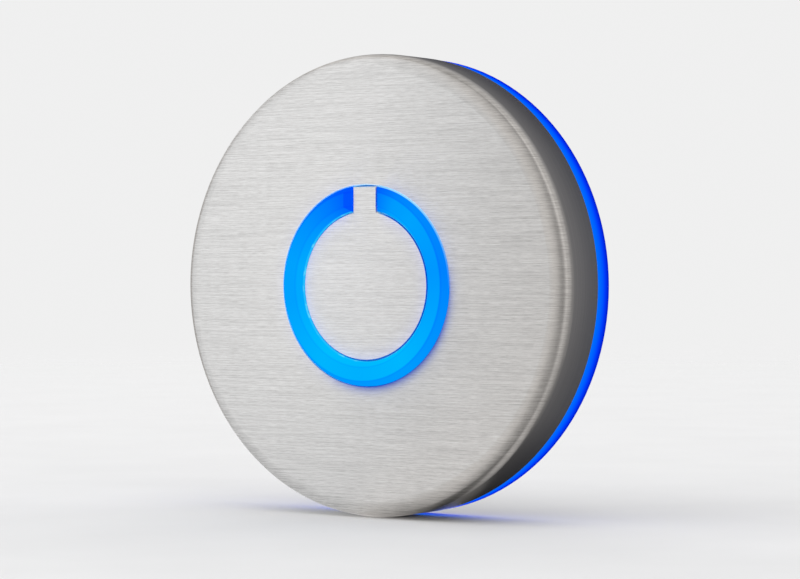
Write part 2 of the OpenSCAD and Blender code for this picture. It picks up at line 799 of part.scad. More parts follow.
// Terminal block: two cells open towards the cable, with a screw well over each
module terminal_block() {
    cell_l = term_l - term_wall;
    color([0.1, 0.36, 0.2]) placed() difference() {
        translate([-term_w / 2, -term_y - term_l / 2, board_top]) cube([term_w, term_l, term_h]);
        at_cells() translate([-term_cell_w / 2, term_l / 2 - cell_l, term_floor])
            cube([term_cell_w, cell_l + over, term_cell_h]);
        at_cells() translate([0, 0, term_floor]) cylinder(r = term_screw_r, h = term_h);
    }
}

// Wire clamps in the cells, each with a wire hole and a tapped top
module terminal_clamps() {
    clamp_w = term_cell_w - 2 * hole_gap;
    clamp_l = term_l - 2 * term_wall;
    color("goldenrod") placed() at_cells() difference() {
        translate([-clamp_w / 2, -clamp_l / 2, term_floor]) cube([clamp_w, clamp_l, term_cell_h]);
        translate([0, clamp_l, term_floor + 1.2]) rotate([90, 0, 0]) cylinder(d = 1.6, h = 2 * clamp_l);
        translate([0, 0, term_floor + 1.2]) cylinder(r = term_screw_r / 2 + thread_gap, h = term_cell_h);
    }
}

// Slotted clamp screws
module terminal_screws() {
    head_h = 0.9;
    head_r = term_screw_r - hole_gap;
    slot_t = 0.4;
    reach = term_cell_h - 2 * slot_t;
    color("gainsboro") placed() at_cells() translate([0, 0, term_floor + term_cell_h]) difference() {
        union() {
            cylinder(r = head_r, h = head_h);
            translate([0, 0, -reach / 2]) cylinder(r = term_screw_r / 2, h = reach / 2 + sink);
        }
        translate([-head_r - over, -slot_t / 2, head_h - slot_t]) cube([2 * head_r + 2 * over, slot_t, slot_t + over]);
    }
}

housing();
halo_ring();
light_ring();
button_cap();
button_plunger();
plunger_o_ring();
button_carrier();
carrier_screws();
return_spring();
base_plate();
wall_gasket();
cable_grommet();
locking_screw();
circuit_board();
board_screws();
switch_body();
switch_cover();
switch_plunger();
switch_terminals();
front_leds();
halo_leds();
resistors();
bridge_rectifier();
smoothing_capacitor();
terminal_block();
terminal_screws();
terminal_clamps();
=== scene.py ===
# Illuminated door bell push: finishes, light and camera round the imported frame
import json
import math

import bmesh
import bpy
from mathutils import Matrix, Vector


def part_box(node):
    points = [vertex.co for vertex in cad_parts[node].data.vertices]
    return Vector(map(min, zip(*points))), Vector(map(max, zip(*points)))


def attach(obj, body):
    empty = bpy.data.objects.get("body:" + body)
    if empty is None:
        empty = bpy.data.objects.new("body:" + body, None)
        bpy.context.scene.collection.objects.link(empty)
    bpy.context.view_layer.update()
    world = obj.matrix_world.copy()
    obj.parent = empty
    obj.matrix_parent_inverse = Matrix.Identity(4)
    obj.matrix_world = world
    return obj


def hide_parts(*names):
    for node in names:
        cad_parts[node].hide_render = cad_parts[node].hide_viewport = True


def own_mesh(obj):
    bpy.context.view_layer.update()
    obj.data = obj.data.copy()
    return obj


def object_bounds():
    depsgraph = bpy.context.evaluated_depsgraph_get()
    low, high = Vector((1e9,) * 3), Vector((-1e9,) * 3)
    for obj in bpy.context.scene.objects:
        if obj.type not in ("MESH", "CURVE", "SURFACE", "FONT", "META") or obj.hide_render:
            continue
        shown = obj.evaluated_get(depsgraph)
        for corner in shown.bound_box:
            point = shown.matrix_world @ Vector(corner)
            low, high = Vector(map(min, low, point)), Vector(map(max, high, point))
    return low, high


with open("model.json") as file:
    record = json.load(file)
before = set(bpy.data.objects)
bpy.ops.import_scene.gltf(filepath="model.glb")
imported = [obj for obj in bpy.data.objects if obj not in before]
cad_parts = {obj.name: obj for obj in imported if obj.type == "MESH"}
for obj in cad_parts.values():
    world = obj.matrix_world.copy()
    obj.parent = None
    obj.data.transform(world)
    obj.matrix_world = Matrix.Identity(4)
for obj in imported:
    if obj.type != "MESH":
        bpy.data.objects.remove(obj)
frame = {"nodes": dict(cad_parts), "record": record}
nodes = frame["nodes"]
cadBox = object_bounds()
mm = 0.001
degrees = 180 / math.pi
black, white = (0.0, 0.0, 0.0), (1.0, 1.0, 1.0)
print("frame loaded:", len(nodes), "nodes")


# camera, at the photograph's viewing angle
photoCamera = {
    "azimuth": 34.305,  # degrees round the part, 0 looks straight at the face
    "elevation": 0.465,
    "roll": -0.118,
    "distance": 388.825 * mm,
    "aim": Vector((3.022, -8.0, -0.594)) * mm,
    "focalLength": 115.46, "sensorWidth": 36, "clipStart": 0.01,
}


def directionOf(azimuth, elevation):
    a = math.radians(azimuth)
    e = math.radians(elevation)
    return Vector((math.sin(a) * math.cos(e), -math.cos(a) * math.cos(e), math.sin(e)))


def buildCamera(settings):
    back = directionOf(settings["azimuth"], settings["elevation"])
    level = directionOf(settings["azimuth"] + 90, 0)
    roll = math.radians(settings["roll"])
    right = math.cos(roll) * level + math.sin(roll) * back.cross(level)
    turn = Matrix((right, back.cross(right), back)).transposed()
    data = bpy.data.cameras.new("photoCamera")
    data.sensor_width = settings["sensorWidth"]
    data.lens = settings["focalLength"]
    data.clip_start = settings["clipStart"]
    camera = bpy.data.objects.new("photoCamera", data)
    place = settings["aim"] + back * settings["distance"]
    camera.matrix_world = Matrix.Translation(place) @ turn.to_4x4()
    bpy.context.scene.collection.objects.link(camera)
    bpy.context.scene.camera = camera


buildCamera(photoCamera)
bpy.context.scene.view_settings.view_transform = "Standard"
print("camera placed")


# short ways to write node trees
def feed(tree, socket, value):
    if isinstance(value, bpy.types.NodeSocket):
        tree.links.new(value, socket)
    elif socket.type == "RGBA":
        socket.default_value = (*value[:3], 1)
    else:
        socket.default_value = value


def addNode(tree, kind, inputs=None, **options):
    made = tree.nodes.new(kind)
    for option, value in options.items():
        setattr(made, option, value)
    for socket, value in (inputs or {}).items():
        feed(tree, made.inputs[socket], value)
    return made


def calc(tree, operation, a, b=0.0):
    return addNode(tree, "ShaderNodeMath", {0: a, 1: b}, operation=operation).outputs[0]


def product(tree, made, *factors):
    for factor in factors:
        made = calc(tree, "MULTIPLY", made, factor)
    return made


def distanceFrom(tree, value, place):
    return calc(tree, "ABSOLUTE", calc(tree, "SUBTRACT", value, place))


def angleOf(tree, across, along):
    return product(tree, calc(tree, "ARCTAN2", across, along), degrees)


def vectorCalc(tree, operation, a, b=black):
    made = addNode(tree, "ShaderNodeVectorMath", {0: a, 1: b}, operation=operation)
    return made.outputs["Value" if operation in ("LENGTH", "DOT_PRODUCT") else "Vector"]


def split(tree, vector):
    return addNode(tree, "ShaderNodeSeparateXYZ", {0: vector}).outputs


def between(tree, value, low, high, toLow=0.0, toHigh=1.0, kind="LINEAR"):
    sizes = {"Value": value, "From Min": low, "From Max": high, "To Min": toLow, "To Max": toHigh}
    return addNode(tree, "ShaderNodeMapRange", sizes, interpolation_type=kind).outputs["Result"]


def mixValue(tree, share, first, second):
    return addNode(tree, "ShaderNodeMix", {0: share, 2: first, 3: second}).outputs[0]


def mixColour(tree, share, first, second, blend="MIX"):
    sides = {0: share, 6: first, 7: second}
    return addNode(tree, "ShaderNodeMix", sides, data_type="RGBA", blend_type=blend).outputs[2]


def ramp(tree, share, stops):
    made = addNode(tree, "ShaderNodeValToRGB", {"Fac": share})
    elements = made.color_ramp.elements
    elements[0].position, elements[1].position = stops[0][0], stops[-1][0]
    elements[0].color, elements[1].color = (*stops[0][1], 1), (*stops[-1][1], 1)
    for position, colour in stops[1:-1]:
        elements.new(position).color = (*colour, 1)
    return made.outputs["Color"]


def greyRamp(tree, value, levels):
    # levels are places along the value, and how bright it is there
    low, high = levels[0][0], levels[-1][0]
    stops = [((place - low) / (high - low), (level,) * 3) for place, level in levels]
    return ramp(tree, between(tree, value, low, high), stops)


def grain(tree, coords, cells, detail=2.0, rough=0.5):
    # cells is the number of noise cells to a metre, the same all ways or one each along x, y and z
    scale = cells if isinstance(cells, tuple) else (cells,) * 3
    placed = addNode(tree, "ShaderNodeMapping", {"Vector": coords, "Scale": scale}).outputs["Vector"]
    sizes = {"Vector": placed, "Scale": 1.0, "Detail": detail, "Roughness": rough}
    return addNode(tree, "ShaderNodeTexNoise", sizes).outputs[0]


noiseSpread = (0.3, 0.7)  # most of a noise's values lie in here


def shadeOf(colour, share):
    return [min(1.0, part * share) for part in colour]


def mottle(tree, noise, deep, pale):
    return ramp(tree, noise, [(noiseSpread[0], deep), (noiseSpread[1], pale)])


def bumpFrom(tree, height, depth):
    return addNode(tree, "ShaderNodeBump", {"Height": height, "Distance": depth}).outputs["Normal"]


def dress(tree, shader, **values):
    for socket, value in values.items():
        feed(tree, shader.inputs[socket.replace("_", " ")], value)


def startMaterial(name, **fixed):
    material = bpy.data.materials.new(name)
    material.use_nodes = True
    tree = material.node_tree
    shader = tree.nodes["Principled BSDF"]
    dress(tree, shader, **fixed)
    coords = addNode(tree, "ShaderNodeTexCoord").outputs["Object"]
    return material, tree, shader, coords


# floor, world, lamps and reflection cards
stageFloor = {
    "radius": 2.4, "segments": 96, "drop": 0.05 * mm, "fadeFrom": 0.06, "fadeTo": 0.95,
    "tone": 0.80, "fleck": 0.015, "fleckCells": 40, "fleckDetail": 4.0,
}
stageWorld = {"seen": (0.868, 0.868, 0.868), "ambient": (0.455, 0.455, 0.46)}

softLamps = [  # level is the brightness of the lamp's own surface
    {"name": "keyLeft", "azimuth": -55, "elevation": 20, "distance": 1.0, "size": 1.4, "level": 0.8},
    {"name": "topSoft", "azimuth": 10, "elevation": 78, "distance": 1.1, "size": 1.3, "level": 0.9},
    {"name": "fillRight", "azimuth": 70, "elevation": 20, "distance": 1.1, "size": 1.0, "level": 0.7},
    {"name": "rearLeft", "azimuth": -140, "elevation": 30, "distance": 1.1, "size": 1.2, "level": 0.9},
    {"name": "rearRight", "azimuth": 140, "elevation": 30, "distance": 1.1, "size": 1.0, "level": 0.7},
]

reflectionSweep = {  # a curved screen that only reflections see
    "near": 0.01, "reach": 0.30, "bend": 0.08, "top": 0.85, "drop": 0.02 * mm,
    "bendSteps": 8, "turnSteps": 100,
    "warm": (1.0, 0.957, 0.915), "warmFrom": -30, "warmTo": 0,
    "tones": [  # degrees round the part, and how bright the upright screen is there
        (-110, 0.66), (-88, 0.89), (-66, 0.93), (-50, 1.03), (-46, 1.08), (-38, 1.28), (-34, 1.26),
        (-31, 1.09), (-28, 0.86), (-25, 0.69), (-21, 0.65), (-12, 0.70), (0, 0.76), (17, 0.78), (34, 0.74),
        (44, 0.61), (51, 0.47), (61, 0.34), (71, 0.40), (79, 0.70), (100, 0.74), (116, 0.58), (140, 0.28),
    ],
    "heights": [  # degrees up, and the share of the tone
        (-40, 0.60), (-16, 0.88), (0, 0.92), (30, 1.04),
    ],
    "highTones": [  # the tones high up on the screen
        (-110, 0.84), (-88, 1.12), (-66, 1.13), (-50, 0.99), (-34, 0.94), (-26, 0.95), (-12, 0.92), (0, 0.84),
        (17, 0.72), (34, 0.60), (50, 0.44), (61, 0.36), (71, 0.44), (79, 0.72), (88, 0.98), (100, 1.04),
        (140, 0.34),
    ],
    "highFrom": 12, "highTo": 42,  # degrees up at which they take over
    "lidFrom": 69, "lidTo": 77, "lidTone": 0.39,  # straight above the part
    "floorTones": [  # the tones of the floor under the part
        (-110, 0.54), (-62, 0.60), (-40, 0.62), (-34.5, 0.62), (-26, 0.57), (0, 0.80), (22, 0.88), (35, 0.88),
        (42, 0.72), (47, 0.48), (51, 0.28), (56, 0.18), (64, 0.17), (69, 0.44), (75, 0.50), (80, 0.43),
        (86, 0.34), (94, 0.24), (106, 0.14), (140, 0.08),
    ],
    "floorFrom": -22, "floorTo": -38,  # degrees down at which they take over
    "nearFrom": -52, "nearTo": -68, "nearTone": 0.2,  # darker close under the part
    "nearRight": (-30, 45),  # but only on the right
}
wallCard = {  # stands where the wall is, and only reflections see it
    "inner": 35.4 * mm, "outer": 600 * mm, "segments": 96, "fadeEnd": 64 * mm,
    "tones": [  # share of the way from the part's edge to the fade's end, and the colour there
        (0.0, (0.090, 0.090, 0.115)), (0.088, (0.120, 0.120, 0.130)), (0.22, (0.22, 0.213, 0.213)),
        (0.44, (0.30, 0.288, 0.282)), (0.65, (0.40, 0.383, 0.37)), (0.86, (0.50, 0.48, 0.46)),
        (1.0, (0.53, 0.507, 0.485)),
    ],
    "highTones": [  # the same above the part
        (0.0, (0.055, 0.055, 0.075)), (0.088, (0.085, 0.085, 0.095)), (0.22, (0.25, 0.243, 0.243)),
        (0.44, (0.45, 0.434, 0.425)), (0.65, (0.56, 0.54, 0.52)), (0.86, (0.59, 0.57, 0.545)),
        (1.0, (0.57, 0.545, 0.52)),
    ],
    "high": (0.62, 0.88),  # from foot to top, where they take over
    "dim": [  # from left to right above the part, and the share of the tone far out
        (-0.12, 1.0), (0.05, 0.82), (0.25, 0.82), (0.5, 1.0),
    ],
    "dimReach": (0.6, 0.95),
    "glint": [  # the same for the lit stretch to the left, which starts closer in
        (-0.66, 0.8), (-0.56, 0.84), (-0.5, 1.08), (-0.36, 1.46), (-0.22, 1.44), (-0.1, 1.1), (0.0, 1.0),
    ],
    "glintReach": (0.1, 0.3),
    "heights": [  # from foot to top, and the share of the tone
        (0.0, 0.10), (0.05, 0.16), (0.12, 0.34), (0.21, 0.70), (0.5, 1.0), (0.8, 1.02), (0.97, 1.02),
    ],
}


def hideFrom(thing, *rays):
    for ray in rays:
        setattr(thing, "visible_" + ray, False)


def stageMesh(name, shape, material):
    mesh = bpy.data.meshes.new(name)
    shape.to_mesh(mesh)
    shape.free()
    mesh.materials.append(material)
    thing = bpy.data.objects.new(name, mesh)
    bpy.context.scene.collection.objects.link(thing)
    return thing


def buildFloor(settings):
    material, tree, shader, coords = startMaterial("paleFloor", Roughness=0.9, Specular_IOR_Level=0.1)
    fleck = grain(tree, coords, settings["fleckCells"], settings["fleckDetail"])
    shades = (1 - settings["fleck"], 1 + settings["fleck"])
    dark, light = ((settings["tone"] * shade,) * 3 for shade in shades)
    reach = vectorCalc(tree, "LENGTH", coords)
    fade = between(tree, reach, settings["fadeFrom"], settings["fadeTo"], 1.0, 0.0, "SMOOTHSTEP")
    dress(tree, shader, Base_Color=mottle(tree, fleck, dark, light), Alpha=fade)
    shape = bmesh.new()
    bmesh.ops.create_circle(shape, cap_ends=True, segments=settings["segments"], radius=settings["radius"])
    floor = stageMesh("paleFloor", shape, material)
    floor.location.z = cadBox[0].z - settings["drop"]


def buildWorld(settings):
    world = bpy.data.worlds.new("paleStudio")
    bpy.context.scene.world = world
    world.use_nodes = True
    tree = world.node_tree
    path = addNode(tree, "ShaderNodeLightPath").outputs
    seen = calc(tree, "MAXIMUM", path["Is Camera Ray"], path["Is Glossy Ray"])
    seen = calc(tree, "MAXIMUM", seen, path["Is Transmission Ray"])
    colour = mixColour(tree, seen, settings["ambient"], settings["seen"])
    feed(tree, tree.nodes["Background"].inputs["Color"], colour)


def buildLamp(settings):
    data = bpy.data.lights.new(settings["name"], "AREA")
    data.shape = "SQUARE"
    data.size = settings["size"]
    data.energy = settings["level"] * math.pi * settings["size"] ** 2
    lamp = bpy.data.objects.new(settings["name"], data)
    towards = directionOf(settings["azimuth"], settings["elevation"])
    lamp.rotation_mode = "QUATERNION"
    lamp.rotation_quaternion = towards.to_track_quat("Z", "Y")
    lamp.location = towards * settings["distance"]
    hideFrom(lamp, "camera", "glossy")
    bpy.context.scene.collection.objects.link(lamp)


def screenMaterial(name):
    material = bpy.data.materials.new(name)
    material.use_nodes = True
    tree = material.node_tree
    tree.nodes.remove(tree.nodes["Principled BSDF"])
    glow = addNode(tree, "ShaderNodeEmission")
    tree.links.new(glow.outputs[0], tree.nodes["Material Output"].inputs["Surface"])
    coords = addNode(tree, "ShaderNodeTexCoord").outputs["Object"]
    return material, tree, glow, coords


def reflectionScreen(name, shape, material):
    screen = stageMesh(name, shape, material)
    hideFrom(screen, "camera", "diffuse", "transmission", "shadow", "volume_scatter")


def sweepTone(tree, coords, settings):
    place = split(tree, coords)
    turn = angleOf(tree, place["X"], product(tree, place["Y"], -1.0))
    away = vectorCalc(tree, "LENGTH", vectorCalc(tree, "MULTIPLY", coords, (1.0, 1.0, 0.0)))
    rise = angleOf(tree, place["Z"], away)
    upright = mixColour(tree, 1.0, greyRamp(tree, turn, settings["tones"]),
                        greyRamp(tree, rise, settings["heights"]), "MULTIPLY")
    onHigh = between(tree, rise, settings["highFrom"], settings["highTo"])
    upright = mixColour(tree, onHigh, upright, greyRamp(tree, turn, settings["highTones"]))
    onLid = between(tree, rise, settings["lidFrom"], settings["lidTo"])
    upright = mixColour(tree, onLid, upright, (settings["lidTone"],) * 3)
    close = between(tree, rise, settings["nearFrom"], settings["nearTo"], 1.0, settings["nearTone"])
    onRight = between(tree, turn, *settings["nearRight"], kind="SMOOTHSTEP")
    under = mixColour(tree, 1.0, greyRamp(tree, turn, settings["floorTones"]),
                      mixValue(tree, onRight, 1.0, close), "MULTIPLY")
    onFloor = between(tree, rise, settings["floorFrom"], settings["floorTo"])
    warmth = between(tree, turn, settings["warmFrom"], settings["warmTo"])
    warmth = mixColour(tree, warmth, white, settings["warm"])
    return mixColour(tree, 1.0, mixColour(tree, onFloor, upright, under), warmth, "MULTIPLY")


def buildSweep(settings):
    material, tree, glow, coords = screenMaterial("reflectionSweep")
    feed(tree, glow.inputs["Color"], sweepTone(tree, coords, settings))
    floorHeight = cadBox[0].z - settings["drop"]
    outline = [(settings["near"], floorHeight)]
    for step in range(settings["bendSteps"] + 1):
        a = math.radians(step * 90 / settings["bendSteps"])
        outline.append((settings["reach"] - settings["bend"] * (1 - math.sin(a)),
                        floorHeight + settings["bend"] * (1 - math.cos(a))))
    outline += [(settings["reach"], settings["top"]), (settings["near"], settings["top"])]
    first, last = settings["tones"][0][0], settings["tones"][-1][0]
    shape = bmesh.new()
    rows = []
    for step in range(settings["turnSteps"] + 1):
        a = math.radians(first + (last - first) * step / settings["turnSteps"])
        rows.append([shape.verts.new((r * math.sin(a), -r * math.cos(a), z)) for r, z in outline])
    for here, there in zip(rows, rows[1:]):
        for k in range(len(outline) - 1):
            shape.faces.new((here[k], there[k], there[k + 1], here[k + 1]))
    reflectionScreen("reflectionSweep", shape, material)


def buildWallCard(settings):
    material, tree, glow, coords = screenMaterial("wallCard")
    outward = split(tree, vectorCalc(tree, "NORMALIZE", coords))
    rise = between(tree, outward["Z"], -1.0, 1.0)
    share = between(tree, vectorCalc(tree, "LENGTH", coords), settings["inner"], settings["fadeEnd"])
    above = ramp(tree, share, settings["highTones"])
    for name in ("dim", "glint"):
        level = greyRamp(tree, outward["X"], settings[name])
        above = mixColour(tree, between(tree, share, *settings[name + "Reach"]), above, level, "MULTIPLY")
    onHigh = between(tree, rise, *settings["high"])
    feed(tree, glow.inputs["Color"], mixColour(tree, onHigh, ramp(tree, share, settings["tones"]), above))
    feed(tree, glow.inputs["Strength"], greyRamp(tree, rise, settings["heights"]))
    shape = bmesh.new()
    bmesh.ops.create_circle(shape, segments=settings["segments"], radius=settings["inner"])
    outer = bmesh.ops.extrude_edge_only(shape, edges=shape.edges[:])["geom"]
    rim = [v for v in outer if isinstance(v, bmesh.types.BMVert)]
    bmesh.ops.scale(shape, vec=(settings["outer"] / settings["inner"],) * 3, verts=rim)
    bmesh.ops.rotate(shape, matrix=Matrix.Rotation(math.pi / 2, 3, "X"), verts=shape.verts)
    reflectionScreen("wallCard", shape, material)


buildFloor(stageFloor)
buildWorld(stageWorld)
for lampSettings in softLamps:
    buildLamp(lampSettings)
buildSweep(reflectionSweep)
buildWallCard(wallCard)
print("stage lit")


# brushed aluminium of the shell and the cap
brushedShell = {
    "dark": (0.60, 0.597, 0.592), "light": (0.95, 0.947, 0.942),
    "fine": (540, 540, 15000), "fineDetail": 3.0, "fineRough": 0.68,  # short streaks
    "long": (95, 95, 13500), "longShare": 0.42, "spread": (0.411, 0.589),
    "turned": (40, 6000, 40), "turnedFrom": (0.2, 0.8), "turnedTo": (0.35, 0.65),  # lathe marks
    "rough": (0.38, 0.46), "sideRough": 0.34, "depth": 0.0012 * mm,
    "face": (-11.6 * mm, -12.5 * mm), "marks": (-10.5 * mm, -11.3 * mm),  # where face and streaks take over
    "ring": (11.43 * mm, 15.13 * mm), "ringLap": 0.05 * mm,
    "paintedSpillIn": (0.0, 0.004, 0.19), "paintedSpillOut": (0.0, 0.004, 0.075),  # painted light from the ring on the metal, inside and outside it
    "spillReach": 4.5 * mm, "spillPower": 4.0, "spillLap": -0.15 * mm,
    "tabFade": (0.985, 0.93),  # it fades out towards the tab
    "rim": (0.04, 0.34, 0.68), "rimReach": 0.3 * mm, "rimSide": (0.4, -0.2),  # painted pale highlight line above the ring
    "bevel": 11.22 * mm, "bevelReach": (0.06 * mm, 0.1 * mm), "bevelPaintedShade": (0.0, 0.24, 0.66),  # painted blue shade and painted reflection of the ring on the cap's edge
    "shade": (0.02, 0.13, 0.74), "shadeReach": 2.2 * mm, "shadePower": 2.3,  # the ring's shade below it
    "shadeTo": (0.574, 0.0, -0.819), "shadeSide": (0.33, 0.92),
}
brushedCap = dict(brushedShell, dark=(0.63, 0.628, 0.627), light=(0.985, 0.982, 0.98))


def brushedAluminium(name, settings):
    fixed = {"Metallic": 1.0, "Anisotropic": 0.95, "Anisotropic_Rotation": 0.25, "Emission_Strength": 1.0}
    material, tree, shader, coords = startMaterial(name, **fixed)
    # brushed streaks on the face, lathe marks on the side
    fine = grain(tree, coords, settings["fine"], settings["fineDetail"], settings["fineRough"])
    streak = mixValue(tree, settings["longShare"], fine, grain(tree, coords, settings["long"]))
    streak = between(tree, streak, *settings["spread"])
    turned = grain(tree, coords, settings["turned"])
    turned = between(tree, turned, *settings["turnedFrom"], *settings["turnedTo"])
    height = split(tree, coords)["Y"]
    onFace = between(tree, height, *settings["face"], kind="SMOOTHSTEP")
    mark = mixValue(tree, between(tree, height, *settings["marks"], kind="SMOOTHSTEP"), turned, streak)
    colour = ramp(tree, mark, [(0.0, settings["dark"]), (1.0, settings["light"])])
    # where a point lies beside the ring
    inner, outer = settings["ring"]
    across = vectorCalc(tree, "MULTIPLY", coords, (1.0, 0.0, 1.0))
    outward = vectorCalc(tree, "NORMALIZE", across)
    reach = vectorCalc(tree, "LENGTH", across)
    away = calc(tree, "MAXIMUM", calc(tree, "SUBTRACT", inner, reach), calc(tree, "SUBTRACT", reach, outer))
    outside = calc(tree, "GREATER_THAN", reach, outer - settings["ringLap"])
    towards = vectorCalc(tree, "DOT_PRODUCT", outward, settings["shadeTo"])
    clear = between(tree, split(tree, outward)["Z"], *settings["tabFade"], kind="SMOOTHSTEP")
    # the ring's painted shadow on the face, and painted blue shade and reflection on the cap's edge
    shaded = between(tree, reach, outer, outer + settings["shadeReach"], 1.0, 0.0)
    shaded = calc(tree, "POWER", shaded, settings["shadePower"])
    shaded = product(tree, shaded, outside, between(tree, towards, *settings["shadeSide"]), onFace)
    paintedShadeTint = mixColour(tree, shaded, white, settings["shade"])
    bevel = between(tree, distanceFrom(tree, reach, settings["bevel"]), *settings["bevelReach"], 1.0, 0.0)
    paintedShadeTint = mixColour(tree, product(tree, bevel, clear), paintedShadeTint, settings["bevelPaintedShade"])
    # painted light from the ring, an emission on the metal
    lit = between(tree, away, 0.0, settings["spillReach"], 1.0, 0.0)
    lit = calc(tree, "POWER", lit, settings["spillPower"])
    lit = product(tree, lit, calc(tree, "GREATER_THAN", away, settings["spillLap"]), clear, onFace)
    paintedRingLight = mixColour(tree, lit, black, mixColour(tree, outside, settings["paintedSpillIn"], settings["paintedSpillOut"]))
    # painted pale highlight line on the metal just outside the ring, above it
    edge = between(tree, reach, outer, outer + settings["rimReach"], 1.0, 0.0)
    edge = product(tree, edge, outside, between(tree, towards, *settings["rimSide"]), onFace)
    paintedRingLight = mixColour(tree, 1.0, paintedRingLight, mixColour(tree, edge, black, settings["rim"]), "ADD")
    faceRough = between(tree, streak, 0.0, 1.0, *settings["rough"])
    along = {0: onFace, 4: (0.0, 1.0, 0.0), 5: (1.0, 0.0, 0.0)}  # brushed along x on the face
    dress(
        tree, shader,
        Base_Color=mixColour(tree, 1.0, colour, paintedShadeTint, "MULTIPLY"),
        Emission_Color=paintedRingLight,
        Roughness=mixValue(tree, onFace, settings["sideRough"], faceRough),
        Normal=bumpFrom(tree, mark, settings["depth"]),
        Tangent=addNode(tree, "ShaderNodeMix", along, data_type="VECTOR").outputs[1],
    )
    return material


# glowing light guides
glowing = {"Base_Color": black, "Roughness": 0.35, "Specular_IOR_Level": 0.0, "Emission_Strength": 1.0}
ringGlow = {
    "levels": [  # degrees round from the bottom, positive to the right, and the green share of the glow there
        (-180, 0.12), (-165, 0.14), (-154, 0.20), (-132, 0.287), (-105, 0.36), (-80, 0.358), (-33, 0.46),
        (0, 0.435), (33, 0.468), (66, 0.39), (99, 0.312), (138, 0.365), (154, 0.325), (166, 0.20),
        (180, 0.13),
    ],
    "inner": 1.11, "outer": 0.71, "slope": 0.814,  # share on the inner and the outer slope, and how they lean
    "ends": 0.64, "endLean": (0.25, 0.4), "blue": 0.99,  # share on the cut ends
    "seam": (0.02, 0.55, 1.0), "seamHeight": (-13.14 * mm, -13.02 * mm),  # pale line along the inner foot
    "seamLean": (-0.8, -0.6), "seamShare": 0.8,
    "spark": (0.14, 0.74, 1.0), "sparkCells": 900, "sparkRange": (0.54, 0.66),  # brighter flecks in it
    "wall": (0.0, 0.17, 0.62), "gapShadeHeight": (-12.74 * mm, -12.35 * mm),  # painted shade: darker glow on the ring's walls in the gap below the face
    "creases": [  # radius, width and level of the painted shade lines at the creases along the slopes
        (12.23 * mm, 0.18 * mm, 0.87), (14.33 * mm, 0.18 * mm, 0.82),
    ],
    "edge": (0.3, 0.74, 1.0), "highlightReach": (15.05 * mm, 15.1 * mm), "highlightTurn": (88, 150),  # painted pale highlight on the upper right of the outer edge
}


def ringGuide(name, settings):
    material, tree, shader, coords = startMaterial(name, **glowing)
    place = split(tree, coords)
    across = vectorCalc(tree, "MULTIPLY", coords, (1.0, 0.0, 1.0))
    radius = vectorCalc(tree, "LENGTH", across)
    turn = angleOf(tree, place["X"], product(tree, place["Z"], -1.0))
    facing = addNode(tree, "ShaderNodeNewGeometry").outputs["True Normal"]
    lean = vectorCalc(tree, "DOT_PRODUCT", vectorCalc(tree, "NORMALIZE", across), facing)
    inside = between(tree, lean, -settings["slope"], 0.0, settings["inner"], 1.0)
    outside = between(tree, lean, 0.0, settings["slope"], 1.0, settings["outer"])
    front = calc(tree, "ABSOLUTE", split(tree, facing)["Y"])
    sideways = calc(tree, "SUBTRACT", 1.0, calc(tree, "MAXIMUM", calc(tree, "ABSOLUTE", lean), front))
    end = between(tree, sideways, *settings["endLean"], 1.0, settings["ends"])
    green = product(tree, greyRamp(tree, turn, settings["levels"]), inside, outside, end)
    # painted shade: darker lines at the creases
    for crease, width, dim in settings["creases"]:
        off = distanceFrom(tree, radius, crease)
        green = product(tree, green, between(tree, off, 0.0, width, dim, 1.0))
    glow = addNode(tree, "ShaderNodeCombineColor", {"Green": green, "Blue": settings["blue"]}).outputs[0]
    # painted highlight along the ring's outer edge on the upper right
    edge = between(tree, turn, *settings["highlightTurn"])
    edge = product(tree, edge, between(tree, radius, *settings["highlightReach"]))
    glow = mixColour(tree, edge, glow, settings["edge"])
    seam = between(tree, lean, *settings["seamLean"], settings["seamShare"], 0.0)
    seam = product(tree, between(tree, place["Y"], *settings["seamHeight"]), seam)
    fleck = between(tree, grain(tree, coords, settings["sparkCells"], 1.0), *settings["sparkRange"])
    glow = mixColour(tree, seam, glow, mixColour(tree, fleck, settings["seam"], settings["spark"]))
    # painted shade on the ring's walls down in the gap
    wall = between(tree, place["Y"], *settings["gapShadeHeight"])
    dress(tree, shader, Emission_Color=mixColour(tree, wall, glow, settings["wall"]))
    return material


haloGlow = {
    "side": [  # share of the height above the wall, and the glow there
        (0.0, (0.0, 0.008, 0.35)), (0.14, (0.0, 0.016, 0.66)), (0.35, (0.0, 0.04, 0.95)),
        (0.6, (0.0, 0.105, 1.0)), (1.0, (0.0, 0.175, 0.97)),
    ],
    "back": [  # share of the way out across the back, and the glow there
        (0.0, (0.0, 0.004, 0.17)), (0.25, (0.0, 0.006, 0.25)), (0.7, (0.0, 0.011, 0.38)),
        (1.0, (0.0, 0.026, 0.66)),
    ],
    "across": (29.8 * mm, 34.8 * mm), "backLean": (0.6, 0.9),
    "patches": 2.6, "patchSpread": (0.35, 0.65), "uneven": (0.74, 1.22),  # light spread on the back
    "cells": 2200, "speck": (0.88, 1.12),
}


def haloGuide(name, settings):
    material, tree, shader, coords = startMaterial(name, **glowing)
    wallSide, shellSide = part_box("halo_ring")[1].y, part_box("housing")[1].y
    side = ramp(tree, between(tree, split(tree, coords)["Y"], wallSide, shellSide), settings["side"])
    across = vectorCalc(tree, "MULTIPLY", coords, (1.0, 0.0, 1.0))
    back = between(tree, vectorCalc(tree, "LENGTH", across), *settings["across"])
    patch = grain(tree, vectorCalc(tree, "NORMALIZE", across), settings["patches"])
    uneven = between(tree, patch, *settings["patchSpread"], *settings["uneven"])
    speck = between(tree, grain(tree, coords, settings["cells"]), *noiseSpread, *settings["speck"])
    back = mixColour(tree, 1.0, ramp(tree, back, settings["back"]), product(tree, uneven, speck), "MULTIPLY")
    facing = addNode(tree, "ShaderNodeNewGeometry").outputs["True Normal"]
    onBack = between(tree, split(tree, facing)["Y"], *settings["backLean"])
    dress(tree, shader, Emission_Color=mixColour(tree, onBack, side, back))
    return material


